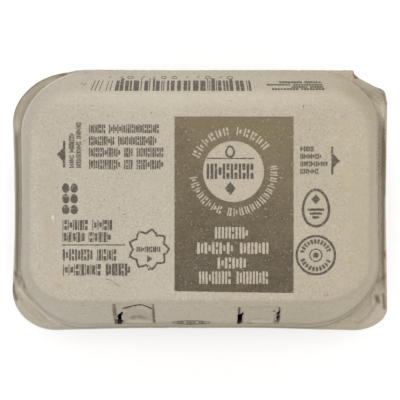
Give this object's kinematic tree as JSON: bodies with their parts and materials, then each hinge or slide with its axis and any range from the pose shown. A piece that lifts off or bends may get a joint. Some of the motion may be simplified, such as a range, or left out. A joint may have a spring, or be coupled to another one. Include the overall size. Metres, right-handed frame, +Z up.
{
  "type": "shut egg carton of moulded pulp",
  "caption": "Shut half-dozen egg carton of moulded pulp with tapered cups, a rim flange, a hinge at the back and a lid with two latch windows.",
  "frame": {"origin": "centre of the overall box on the floor, under the six cups' feet", "axes": "+X along the carton's length, +Y from the latches to the hinge, +Z up"},
  "size_m": [0.1522, 0.1058, 0.0699],
  "materials": {
    "moulded_pulp": "matt, fibrous",
    "brown_ink": "matt ink soaked into pulp",
    "dark_ink": "matt ink soaked into pulp"
  },
  "bodies": {
    "root": {"carton": "moulded_pulp"}
  },
  "joints": []
}
